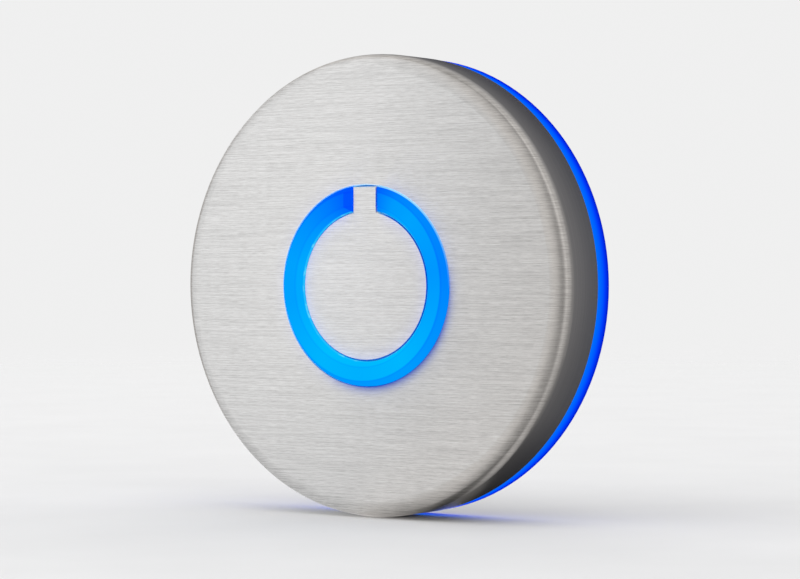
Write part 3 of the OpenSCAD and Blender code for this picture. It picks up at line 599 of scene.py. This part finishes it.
# moulded plastics: colour, roughness, then cells to a metre, depth and colour fleck of the moulded texture
mouldings = {
    "black_moulding": {"colour": (0.028, 0.028, 0.031), "rough": 0.42, "texture": (5000, 0.004 * mm, 0.88)},
    "white_moulding": {"colour": (0.80, 0.80, 0.78), "rough": 0.38, "texture": (3500, 0.003 * mm, 0.95)},
    "plate_moulding": {"colour": (0.086, 0.088, 0.096), "rough": 0.55, "texture": (1350, 0.09 * mm, 0.62)},
    "terminal_plastic": {"colour": (0.03, 0.2, 0.08), "rough": 0.35, "texture": (4000, 0.003 * mm, 0.9)},
    "seal_rubber": {"colour": (0.02, 0.02, 0.02), "rough": 0.6, "texture": (6000, 0.004 * mm, 0.85)},
    "grommet_rubber": {"colour": (0.032, 0.032, 0.032), "rough": 0.62, "texture": (2600, 0.03 * mm, 0.7)},
}
mouldedLook = {
    "cloudCells": 160, "cloudDetail": 3.0, "shades": (0.93, 1.07), "pebble": (0.34, 0.66), "roughStep": 0.05,
}


def moulded(name, settings, look):
    material, tree, shader, coords = startMaterial(name, Specular_IOR_Level=0.45)
    cells, depth, fleck = settings["texture"]
    pebble = grain(tree, coords, cells)
    cloud = grain(tree, coords, look["cloudCells"], look["cloudDetail"])
    colour = mottle(tree, cloud, *(shadeOf(settings["colour"], share) for share in look["shades"]))
    shade = ramp(tree, pebble, [(look["pebble"][0], (fleck,) * 3), (look["pebble"][1], white)])
    rough = (settings["rough"] - look["roughStep"], settings["rough"] + look["roughStep"])
    dress(
        tree, shader,
        Base_Color=mixColour(tree, 1.0, colour, shade, "MULTIPLY"),
        Roughness=between(tree, cloud, *noiseSpread, *rough),
        Normal=bumpFrom(tree, pebble, depth),
    )
    return material


foamSeal = {
    "colour": (0.022, 0.022, 0.024), "paler": 2.2, "cells": 2400, "depth": 0.06 * mm,
    "wallFrom": 0.1, "wallTo": 0.8, "rough": (0.9, 0.7),
}


def closedCellFoam(name, settings):
    material, tree, shader, coords = startMaterial(name, Specular_IOR_Level=0.25)
    sizes = {"Vector": coords, "Scale": settings["cells"]}
    cell = addNode(tree, "ShaderNodeTexVoronoi", sizes).outputs["Distance"]
    pale = shadeOf(settings["colour"], settings["paler"])
    dress(
        tree, shader,
        Base_Color=ramp(tree, cell, [(settings["wallFrom"], settings["colour"]), (settings["wallTo"], pale)]),
        Roughness=between(tree, cell, 0.0, settings["wallTo"], *settings["rough"]),
        Normal=bumpFrom(tree, cell, settings["depth"]),
    )
    return material


# plated and plain metals: colour, roughness, noise cells to a metre along x, y and z
metals = {
    "screw_steel": {"colour": (0.62, 0.62, 0.63), "rough": 0.3, "cells": (2500, 2500, 2500)},
    "spring_steel": {"colour": (0.55, 0.56, 0.58), "rough": 0.28, "cells": (1500, 6000, 1500)},
    "lock_steel": {"colour": (0.5, 0.5, 0.51), "rough": 0.3, "cells": (5000, 5000, 900)},
    "switch_metal": {"colour": (0.66, 0.66, 0.66), "rough": 0.3, "cells": (600, 5000, 5000)},
    "tinned_metal": {"colour": (0.7, 0.7, 0.69), "rough": 0.35, "cells": (2000, 2000, 2000)},
    "can_metal": {"colour": (0.7, 0.7, 0.71), "rough": 0.28, "cells": (4000, 300, 4000)},
    "clamp_brass": {"colour": (0.72, 0.55, 0.24), "rough": 0.32, "cells": (3000, 800, 3000)},
}
metalLook = {"shades": (0.85, 1.1), "detail": 3.0, "smoother": 0.06, "rougher": 0.08, "depth": 0.002 * mm}


def plainMetal(name, settings, look):
    material, tree, shader, coords = startMaterial(name, Metallic=1.0)
    mark = grain(tree, coords, settings["cells"], look["detail"])
    rough = (settings["rough"] - look["smoother"], settings["rough"] + look["rougher"])
    dress(
        tree, shader,
        Base_Color=mottle(tree, mark, *(shadeOf(settings["colour"], share) for share in look["shades"])),
        Roughness=between(tree, mark, *noiseSpread, *rough),
        Normal=bumpFrom(tree, mark, look["depth"]),
    )
    return material


# solder mask with copper tracks showing under it
boardMask = {
    "mask": (0.012, 0.105, 0.05), "track": (0.024, 0.165, 0.075), "pitch": 700,
    "bendCells": 90, "bend": 6.0, "trackEdge": (0.78, 0.84), "depth": 0.03 * mm,
}


def solderMask(name, settings):
    material, tree, shader, coords = startMaterial(name, Roughness=0.32, Specular_IOR_Level=0.5)
    flat = addNode(tree, "ShaderNodeMapping", {"Vector": coords, "Scale": (1, 0, 1)}).outputs["Vector"]
    bend = product(tree, grain(tree, flat, settings["bendCells"], 0.0), settings["bend"])
    lane = calc(tree, "ADD", product(tree, split(tree, flat)["Z"], settings["pitch"]), bend)
    track = between(tree, calc(tree, "PINGPONG", lane, 1.0), *settings["trackEdge"])
    dress(tree, shader, Base_Color=mixColour(tree, track, settings["mask"], settings["track"]),
          Normal=bumpFrom(tree, track, settings["depth"]))
    return material


# faces of the lamps and chips say in their zone attribute what they are made of
zones = {"body": 0.0, "window": 1.0, "plated": 2.0}


def inZone(tree, zone):
    here = addNode(tree, "ShaderNodeAttribute", attribute_name="zone").outputs["Fac"]
    return calc(tree, "COMPARE", here, zones[zone])


lampBody = {
    "colour": (0.85, 0.83, 0.75), "deeper": 0.9, "window": (0.9, 0.72, 0.2), "plating": (0.7, 0.7, 0.69),
    "cells": 900, "depth": 0.004 * mm,
}


def lampPlastic(name, settings):
    material, tree, shader, coords = startMaterial(name, Roughness=0.3)
    cloud = grain(tree, coords, settings["cells"])
    body = mottle(tree, cloud, shadeOf(settings["colour"], settings["deeper"]), settings["colour"])
    colour = mixColour(tree, inZone(tree, "window"), body, settings["window"])
    plated = inZone(tree, "plated")
    dress(tree, shader, Base_Color=mixColour(tree, plated, colour, settings["plating"]), Metallic=plated,
          Normal=bumpFrom(tree, cloud, settings["depth"]))
    return material


chipBody = {
    "colour": (0.022, 0.022, 0.024), "paler": 1.5, "plating": (0.7, 0.7, 0.69), "rough": (0.34, 0.55),
    "cells": 9000, "depth": 0.003 * mm,
}


def chipCeramic(name, settings):
    material, tree, shader, coords = startMaterial(name, Specular_IOR_Level=0.45)
    speck = grain(tree, coords, settings["cells"])
    body = mottle(tree, speck, settings["colour"], shadeOf(settings["colour"], settings["paler"]))
    plated = inZone(tree, "plated")
    dress(
        tree, shader,
        Base_Color=mixColour(tree, plated, body, settings["plating"]),
        Metallic=plated,
        Roughness=between(tree, speck, *noiseSpread, *settings["rough"]),
        Normal=bumpFrom(tree, speck, settings["depth"]),
    )
    return material


finishes = {
    "brushed_shell": brushedAluminium("brushedShell", brushedShell),
    "brushed_cap": brushedAluminium("brushedCap", brushedCap),
    "ring_guide": ringGuide("ringGuide", ringGlow),
    "halo_guide": haloGuide("haloGuide", haloGlow),
    "seal_foam": closedCellFoam("closedCellFoam", foamSeal),
    "board_laminate": solderMask("solderMask", boardMask),
    "lamp_plastic": lampPlastic("lampPlastic", lampBody),
    "chip_ceramic": chipCeramic("chipCeramic", chipBody),
}
finishes.update({slot: moulded(slot, settings, mouldedLook) for slot, settings in mouldings.items()})
finishes.update({slot: plainMetal(slot, settings, metalLook) for slot, settings in metals.items()})
for part in frame["record"]["subparts"]:
    mesh = nodes[part["node"]].data
    mesh.materials.clear()
    mesh.materials.append(finishes[part["material_slot"]])
print("finishes set:", len(finishes))


# Geometry Nodes: short ways to start a tree and to turn its result into a plain mesh
def startTree(name, sockets):
    tree = bpy.data.node_groups.new(name, "GeometryNodeTree")
    tree.interface.new_socket("Geometry", in_out="INPUT", socket_type="NodeSocketGeometry")
    tree.interface.new_socket("Geometry", in_out="OUTPUT", socket_type="NodeSocketGeometry")
    for socket, kind in sockets.items():
        tree.interface.new_socket(socket, in_out="INPUT", socket_type="NodeSocket" + kind)
    return tree, addNode(tree, "NodeGroupInput").outputs


def endTree(tree, geometry, material):
    real = addNode(tree, "GeometryNodeRealizeInstances", {"Geometry": geometry}).outputs[0]
    dressed = addNode(tree, "GeometryNodeSetMaterial", {"Geometry": real, "Material": material}).outputs[0]
    addNode(tree, "NodeGroupOutput", {"Geometry": dressed})


def settle(name, mesh, tree, values, slotName, node, smooth):
    piece = bpy.data.objects.new(name, mesh)
    bpy.context.scene.collection.objects.link(piece)
    modifier = piece.modifiers.new(name, "NODES")
    modifier.node_group = tree
    values = dict(values, Material=finishes[slotName])
    for item in tree.interface.items_tree:
        if item.in_out == "INPUT" and item.name in values:
            modifier[item.identifier] = values[item.name]
    graph = bpy.context.evaluated_depsgraph_get()
    made = bpy.data.meshes.new_from_object(piece.evaluated_get(graph))
    piece.modifiers.clear()
    piece.data = made
    made.name = name
    made.shade_smooth()
    made.set_sharp_from_angle(angle=math.radians(smooth))
    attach(piece, "body")
    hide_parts(node)
    print(name + ":", len(made.polygons), "faces")
    return piece


# return spring, a wire that follows a helix with flatter ends
springCoil = {
    "Coil Radius": 9.5 * mm, "Wire Diameter": 0.5 * mm, "Turns": 3.0, "End Turns": 0.5, "End Pitch": 0.5 * mm,
    "Foot": 7.9 * mm, "Height": 3.1 * mm, "travel": 0.8 * mm, "Steps": 180, "Wire Sides": 12,
}


def springTree():
    sizes = ("Coil Radius", "Wire Diameter", "Turns", "End Turns", "End Pitch", "Foot", "Height")
    sockets = dict.fromkeys(sizes, "Float")
    sockets.update({"Steps": "Int", "Wire Sides": "Int", "Material": "Material"})
    tree, given = startTree("springCoil", sockets)
    line = addNode(tree, "GeometryNodeCurvePrimitiveLine").outputs[0]
    line = addNode(tree, "GeometryNodeResampleCurve", {"Curve": line, "Count": given["Steps"]}).outputs[0]
    share = addNode(tree, "GeometryNodeSplineParameter").outputs["Factor"]
    turns = product(tree, share, given["Turns"])
    angle = product(tree, turns, 2 * math.pi)
    wireRadius = product(tree, given["Wire Diameter"], 0.5)
    free = calc(tree, "SUBTRACT", given["Turns"], product(tree, given["End Turns"], 2.0))
    climb = calc(tree, "SUBTRACT", given["Height"], given["Wire Diameter"])
    climb = calc(tree, "SUBTRACT", climb, product(tree, given["Turns"], given["End Pitch"]))
    active = calc(tree, "DIVIDE", calc(tree, "SUBTRACT", turns, given["End Turns"]), free)
    active = between(tree, active, 0.0, 1.0)
    rise = calc(tree, "ADD", product(tree, turns, given["End Pitch"]), product(tree, active, climb))
    rise = calc(tree, "ADD", rise, calc(tree, "ADD", given["Foot"], wireRadius))
    place = {
        "X": product(tree, given["Coil Radius"], calc(tree, "COSINE", angle)),
        "Y": product(tree, rise, -1.0),
        "Z": product(tree, given["Coil Radius"], calc(tree, "SINE", angle)),
    }
    place = addNode(tree, "ShaderNodeCombineXYZ", place).outputs[0]
    helix = addNode(tree, "GeometryNodeSetPosition", {"Geometry": line, "Position": place}).outputs[0]
    wire = {"Resolution": given["Wire Sides"], "Radius": wireRadius}
    wire = addNode(tree, "GeometryNodeCurvePrimitiveCircle", wire).outputs[0]
    coil = {"Curve": helix, "Profile Curve": wire, "Fill Caps": True}
    endTree(tree, addNode(tree, "GeometryNodeCurveToMesh", coil).outputs[0], given["Material"])
    return tree


spring = settle("returnSpring", bpy.data.meshes.new("returnSpring"), springTree(), springCoil,
                "spring_steel", "return_spring", smooth=50)
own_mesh(spring)


# copies of one small part on points, each turned about y
def copyTree():
    sockets = {"Copy": "Object", "Size": "Float", "Spin": "Float", "Seed": "Int", "Material": "Material"}
    tree, given = startTree("copiesOnPoints", sockets)
    copy = addNode(tree, "GeometryNodeObjectInfo", {"Object": given["Copy"]}).outputs["Geometry"]
    turn = addNode(tree, "GeometryNodeInputNamedAttribute", {"Name": "turn"}, data_type="FLOAT").outputs[0]
    limits = {"Seed": given["Seed"], 2: product(tree, given["Spin"], -1.0), 3: given["Spin"]}
    spin = addNode(tree, "FunctionNodeRandomValue", limits, data_type="FLOAT").outputs[1]
    turned = addNode(tree, "ShaderNodeCombineXYZ", {"Y": calc(tree, "ADD", turn, spin)}).outputs[0]
    rotation = addNode(tree, "FunctionNodeEulerToRotation", {0: turned}).outputs[0]
    sizes = {"Points": given["Geometry"], "Instance": copy, "Rotation": rotation, "Scale": given["Size"]}
    copies = addNode(tree, "GeometryNodeInstanceOnPoints", sizes).outputs[0]
    endTree(tree, copies, given["Material"])
    return tree


mergeDistance = 0.001 * mm


def solidBoxes(node):
    # lowest and highest corner of each separate solid of a CAD node, from a merged copy
    shape = bmesh.new()
    shape.from_mesh(nodes[node].data)
    bmesh.ops.remove_doubles(shape, verts=shape.verts, dist=mergeDistance)
    left = set(shape.verts)
    boxes = []
    while left:
        reached, edge = set(), [next(iter(left))]
        while edge:
            vert = edge.pop()
            if vert not in reached:
                reached.add(vert)
                edge += [e.other_vert(vert) for e in vert.link_edges]
        left -= reached
        corners = [[pick(v.co[k] for v in reached) for k in range(3)] for pick in (min, max)]
        boxes.append((Vector(corners[0]), Vector(corners[1])))
    shape.free()
    return sorted(boxes, key=lambda b: math.atan2(b[0].z + b[1].z, b[0].x + b[1].x))


def meshFrom(name, shape):
    bmesh.ops.recalc_face_normals(shape, faces=shape.faces)
    mesh = bpy.data.meshes.new(name)
    shape.to_mesh(mesh)
    shape.free()
    return mesh


copies = copyTree()


def seatHeight(row, low, high):
    # a screw sits under its head, other parts at their middle
    if "headTo" not in row:
        return (low + high) / 2
    return high - row["headHeight"] if row["headTo"] > 0 else low + row["headHeight"]


def copyPiece(row, template, slotName, spin, smooth):
    name = row["name"]
    points = bpy.data.meshes.new(name + "Points")
    boxes = solidBoxes(row["node"])
    middles = [(low + high) / 2 for low, high in boxes]
    places = [(m.x, seatHeight(row, low.y, high.y), m.z) for m, (low, high) in zip(middles, boxes)]
    points.from_pydata(places, [], [])
    turn = points.attributes.new("turn", "FLOAT", "POINT")
    turn.data.foreach_set("value", [-math.atan2(m.z, m.x) for m in middles])
    model = bpy.data.objects.new(name + "Model", template)
    bpy.context.scene.collection.objects.link(model)
    values = {"Copy": model, "Size": 1.0, "Spin": math.radians(spin), "Seed": row["seed"]}
    settle(name, points, copies, values, slotName, row["node"], smooth)
    bpy.data.objects.remove(model)


# pan-head screws with a cross recess and a rolled thread
panScrew = {
    "headWider": 0.95 * mm, "crown": 0.55, "crownSteps": 6, "headSoft": 0.04 * mm,
    "pitch": 0.45 * mm, "threadDepth": 0.16 * mm, "around": 32, "rowsToPitch": 8,
    "tipLength": 0.8 * mm, "tipLeast": 0.3, "tipShrink": 0.3,
    "recessWidth": 0.34 * mm, "recessLength": 1.5 * mm, "recessDepth": 0.6 * mm,
    "recessRise": 0.3 * mm, "recessFlare": (0.72, 1.08),  # of the cutter, at its foot and above the head
}
screwSets = [  # the head points to the wall with headTo 1, to the front with -1
    {"name": "carrierScrews", "node": "carrier_screws", "seed": 3,
     "diameter": 1.9 * mm, "headHeight": 1.2 * mm, "headTo": 1},
    {"name": "boardScrews", "node": "board_screws", "seed": 8,
     "diameter": 2.0 * mm, "headHeight": 1.2 * mm, "headTo": -1},
]


def screwShape(settings, row, length):
    shape = bmesh.new()
    around, pitch, headTo = settings["around"], settings["pitch"], row["headTo"]
    radius = row["diameter"] / 2
    headRadius = radius + settings["headWider"]
    outline = []
    for step in range(settings["crownSteps"]):
        a = math.radians(90 * (step + 1) / settings["crownSteps"])
        high = row["headHeight"] * (1 - settings["crown"] + settings["crown"] * math.cos(a))
        outline.append((headRadius * math.sin(a), high))
    outline += [(headRadius, settings["headSoft"]), (headRadius - settings["headSoft"], 0.0), (radius, 0.0)]
    rings = [[(r, high)] * around for r, high in outline]
    rows = int(length / pitch * settings["rowsToPitch"])
    for step in range(1, rows + 1):
        depth = length * step / rows
        taper = min(1.0, max(settings["tipLeast"], (length - depth) / settings["tipLength"]))
        narrow = 1 - settings["tipShrink"] + settings["tipShrink"] * taper
        waves = [(depth / pitch - k / around) % 1.0 for k in range(around)]
        cuts = [settings["threadDepth"] * abs(2 * wave - 1) for wave in waves]
        rings.append([((radius - cut) * narrow, -depth) for cut in cuts])
    turns = [2 * math.pi * k / around for k in range(around)]
    made = []
    for ring in rings:
        places = [(r * math.cos(a), headTo * high, r * math.sin(a)) for a, (r, high) in zip(turns, ring)]
        made.append([shape.verts.new(place) for place in places])
    for here, there in zip(made, made[1:]):
        for k in range(around):
            shape.faces.new((here[k], here[k - 1], there[k - 1], there[k]))
    shape.faces.new(made[0])
    shape.faces.new(made[-1])
    return shape


def crossCutter(settings, row):
    shape = bmesh.new()
    near, far = settings["recessWidth"] / 2, settings["recessLength"] / 2
    arm = [(near, near), (far, near), (far, -near)]
    corners = []
    for quarter in range(4):
        corners += arm
        arm = [(z, -x) for x, z in arm]
    top = row["headHeight"]
    heights = (top - settings["recessDepth"], top + settings["recessRise"])
    rings = [[shape.verts.new((x * grow, row["headTo"] * high, z * grow)) for x, z in corners]
             for high, grow in zip(heights, settings["recessFlare"])]
    for k in range(len(corners)):
        shape.faces.new((rings[0][k], rings[0][k - 1], rings[1][k - 1], rings[1][k]))
    shape.faces.new(rings[0])
    shape.faces.new(rings[1])
    return shape


def screwTemplate(settings, row):
    low, high = solidBoxes(row["node"])[0]
    blank = screwShape(settings, row, high.y - low.y - row["headHeight"])
    shapes = {"screwBlank": blank, "crossCutter": crossCutter(settings, row)}
    things = [bpy.data.objects.new(name, meshFrom(name, shape)) for name, shape in shapes.items()]
    for thing in things:
        bpy.context.scene.collection.objects.link(thing)
    shaft, cutter = things
    cut = shaft.modifiers.new("recess", "BOOLEAN")
    cut.object = cutter
    cut.solver = "EXACT"
    graph = bpy.context.evaluated_depsgraph_get()
    mesh = bpy.data.meshes.new_from_object(shaft.evaluated_get(graph))
    for thing in things:
        bpy.data.objects.remove(thing)
    return mesh


for row in screwSets:
    copyPiece(row, screwTemplate(panScrew, row), "screw_steel", spin=180, smooth=35)


# lamps: a moulded tub with a round window, on plated ends
lampShape = {
    "plated": 0.35 * mm, "platedTo": -0.25, "around": 32, "wallLean": 0.94,
    "windowShare": 0.75, "windowDepth": 0.15 * mm, "windowLean": 0.9,
}
lampSets = [  # size in millimetres
    {"name": "frontLamps", "node": "front_leds", "size": (2.8, 2.8, 0.9), "faces": "front", "seed": 5},
    {"name": "haloLamps", "node": "halo_leds", "size": (2.8, 0.9, 1.2), "faces": "out", "seed": 5},
]
lampTurns = {"front": Matrix.Rotation(math.pi / 2, 3, "X"), "out": Matrix(((0, 0, 1), (0, 1, 0), (-1, 0, 0)))}


def lampTemplate(settings, row):
    # built with its window up along z, then turned to face the front or outwards
    shape = bmesh.new()
    zone = shape.faces.layers.float.new("zone")
    long, wide, high = (size * mm for size in row["size"])
    count = settings["around"]
    angles = [2 * math.pi * (k + 0.5) / count for k in range(count)]
    hole = min(long, wide) * settings["windowShare"] / 2

    def rim(grow, level):
        ring = []
        for a in angles:
            c, s = math.cos(a), math.sin(a)
            reach = 1 / max(abs(c), abs(s))
            ring.append(shape.verts.new((c * reach * long / 2 * grow, s * reach * wide / 2 * grow, level)))
        return ring

    def circle(radius, level):
        return [shape.verts.new((radius * math.cos(a), radius * math.sin(a), level)) for a in angles]

    floor = high / 2 - settings["windowDepth"]
    rings = [rim(1.0, -high / 2), rim(1.0, high * settings["platedTo"]), rim(settings["wallLean"], high / 2),
             circle(hole, high / 2), circle(hole * settings["windowLean"], floor)]
    kinds = ["plated", "body", "body", "body"]
    for here, there, kind in zip(rings, rings[1:], kinds):
        for k in range(count):
            face = shape.faces.new((here[k - 1], here[k], there[k], there[k - 1]))
            atEnd = abs(face.calc_center_median().x) > long / 2 - settings["plated"]
            face[zone] = zones[kind if atEnd else "body"]
    shape.faces.new(rings[0])[zone] = zones["plated"]
    shape.faces.new(rings[-1])[zone] = zones["window"]
    bmesh.ops.rotate(shape, matrix=lampTurns[row["faces"]], verts=shape.verts)
    return meshFrom(row["name"], shape)


for row in lampSets:
    copyPiece(row, lampTemplate(lampShape, row), "lamp_plastic", spin=1.5, smooth=40)


# chip resistors: a thin body with plated caps at both ends
chipShape = {
    "length": 3.2 * mm, "width": 1.6 * mm, "height": 0.6 * mm, "cap": 0.5 * mm, "proud": 0.04 * mm,
    "soft": 0.05 * mm,
}
chipSet = {"name": "chipResistors", "node": "resistors", "seed": 2}


def chipTemplate(settings):
    shape = bmesh.new()
    zone = shape.faces.layers.float.new("zone")
    half = settings["length"] / 2
    cap, proud, soft = settings["cap"], settings["proud"], settings["soft"]
    stations = [(-half, 0.0), (-half, proud), (-half + cap, proud), (-half + cap, 0.0),
                (half - cap, 0.0), (half - cap, proud), (half, proud), (half, 0.0)]
    rings = []
    for x, grow in stations:
        w, h = settings["width"] / 2 - proud + grow, settings["height"] / 2 - proud + grow
        outline = [(w - soft, h), (w, h - soft), (w, soft - h), (w - soft, -h),
                   (soft - w, -h), (-w, soft - h), (-w, h - soft), (soft - w, h)]
        rings.append([shape.verts.new((x, y, z)) for z, y in outline])
    kinds = ["plated", "plated", "plated", "body", "plated", "plated", "plated"]
    for here, there, kind in zip(rings, rings[1:], kinds):
        for k in range(len(here)):
            shape.faces.new((here[k - 1], here[k], there[k], there[k - 1]))[zone] = zones[kind]
    shape.faces.new(rings[0])[zone] = zones["plated"]
    shape.faces.new(rings[-1])[zone] = zones["plated"]
    return meshFrom("chipResistor", shape)


copyPiece(chipSet, chipTemplate(chipShape), "chip_ceramic", spin=1.5, smooth=30)
print("repeated pieces made")
